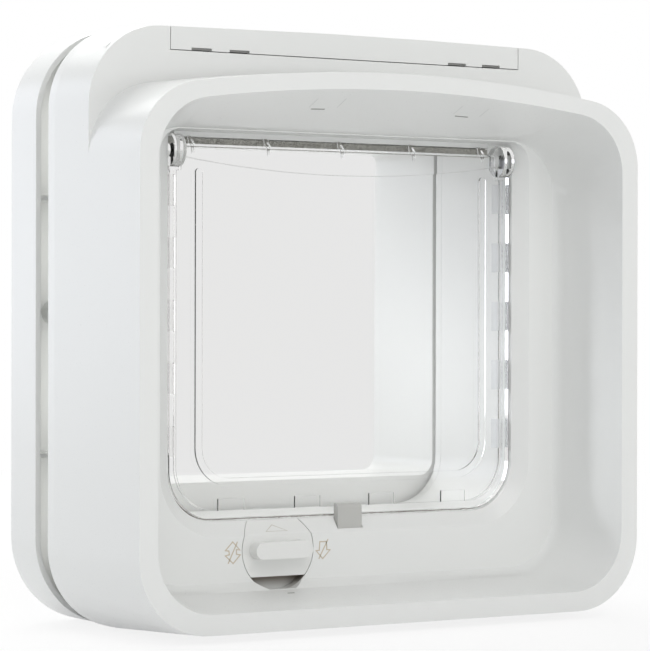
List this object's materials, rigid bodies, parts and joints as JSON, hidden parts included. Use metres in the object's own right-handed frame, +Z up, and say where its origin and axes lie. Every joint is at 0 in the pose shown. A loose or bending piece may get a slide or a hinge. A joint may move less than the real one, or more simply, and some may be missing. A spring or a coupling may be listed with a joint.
{
  "type": "cat flap",
  "caption": "Square framed pet door for a door panel: deep hooded housing with a clear top-hung flap, sill latches, lock knob and battery lid in front, hollow frame and tunnel behind.",
  "frame": {"origin": "middle of the base, under the middle of the overall depth", "axes": "+Z up, +X across to the right seen from the hood, +Y from the hood through the panel to the rear frame"},
  "size_m": [0.21, 0.1324, 0.21],
  "materials": {
    "shell_white": "satin gloss moulded white",
    "knob_white": "satin moulded white with printed pointer",
    "flap_clear": "clear polished moulding",
    "pile": "short grey pile",
    "latch_grey": "fine matt",
    "latch_brown": "fine matt",
    "gear_plastic": "natural acetal",
    "bracket_plastic": "fine matt",
    "switch_black": "fine matt",
    "button_red": "fine matt",
    "board_green": "solder mask",
    "cell": "wrapped metal can",
    "spring_steel": "plated",
    "screw_steel": "plated",
    "motor_metal": "plated",
    "copper": "enamelled winding",
    "insert_brass": "knurled"
  },
  "bodies": {
    "housing": {"front_housing": "shell_white", "back_cover": "shell_white", "rear_frame": "shell_white", "screw_caps": "shell_white", "battery_1": "cell", "battery_2": "cell", "battery_3": "cell", "battery_4": "cell", "contact_plate_left": "spring_steel", "contact_plate_right": "spring_steel", "learn_switch": "switch_black", "circuit_board": "board_green", "board_components": "switch_black", "reader_coil": "copper", "front_latch_motor": "motor_metal", "rear_latch_motor": "motor_metal", "latch_bracket": "bracket_plastic", "head_brush": "pile", "fixing_screws": "screw_steel", "threaded_inserts": "insert_brass"},
    "cover": {"battery_cover": "shell_white"},
    "button": {"learn_button": "button_red"},
    "knob": {"lock_knob": "knob_white", "knob_clip": "spring_steel", "knob_cam": "gear_plastic"},
    "front_latch": {"front_latch": "latch_grey"},
    "rear_latch": {"rear_latch": "latch_brown"},
    "front_pinion": {"front_pinion": "gear_plastic"},
    "rear_pinion": {"rear_pinion": "gear_plastic"},
    "flap": {"flap": "flap_clear", "flap_brush": "pile"}
  },
  "joints": [
    {"name": "flap_swing", "type": "hinge", "parent": "housing", "child": "flap", "pos_m": [0, -0.02685, 0.166], "axis": [1, 0, 0], "range_deg": [0, 80]},
    {"name": "front_latch_slide", "type": "slide", "parent": "housing", "child": "front_latch", "axis": [0, 0, 1], "range_m": [-0.0065, 0]},
    {"name": "rear_latch_slide", "type": "slide", "parent": "housing", "child": "rear_latch", "axis": [0, 0, 1], "range_m": [0, 0.0065]},
    {"name": "knob_turn", "type": "hinge", "parent": "housing", "child": "knob", "pos_m": [-0.0303, -0.03325, 0.0274], "axis": [0, 1, 0], "range_deg": [-90, 180]},
    {"name": "cover_hinge", "type": "hinge", "parent": "housing", "child": "cover", "pos_m": [0, -0.01355, 0.2061], "axis": [-1, 0, 0], "range_deg": [0, 90]},
    {"name": "learn_button_press", "type": "slide", "parent": "housing", "child": "button", "axis": [0, 0, -1], "range_m": [0, 0.0012], "stiffness_N_per_m": 300},
    {"name": "front_pinion_spin", "type": "hinge", "parent": "housing", "child": "front_pinion", "pos_m": [0.0098, -0.03215, 0.016], "axis": [0, 1, 0], "range_deg": [-220, 45]},
    {"name": "rear_pinion_spin", "type": "hinge", "parent": "housing", "child": "rear_pinion", "pos_m": [-0.0098, -0.02455, 0.016], "axis": [0, 1, 0], "range_deg": [-220, 45]}
  ],
  "couplings": [
    {"joint": "front_pinion_spin", "follows": "front_latch_slide", "rad_per_m": 178.57},
    {"joint": "rear_pinion_spin", "follows": "rear_latch_slide", "rad_per_m": -178.57}
  ]
}
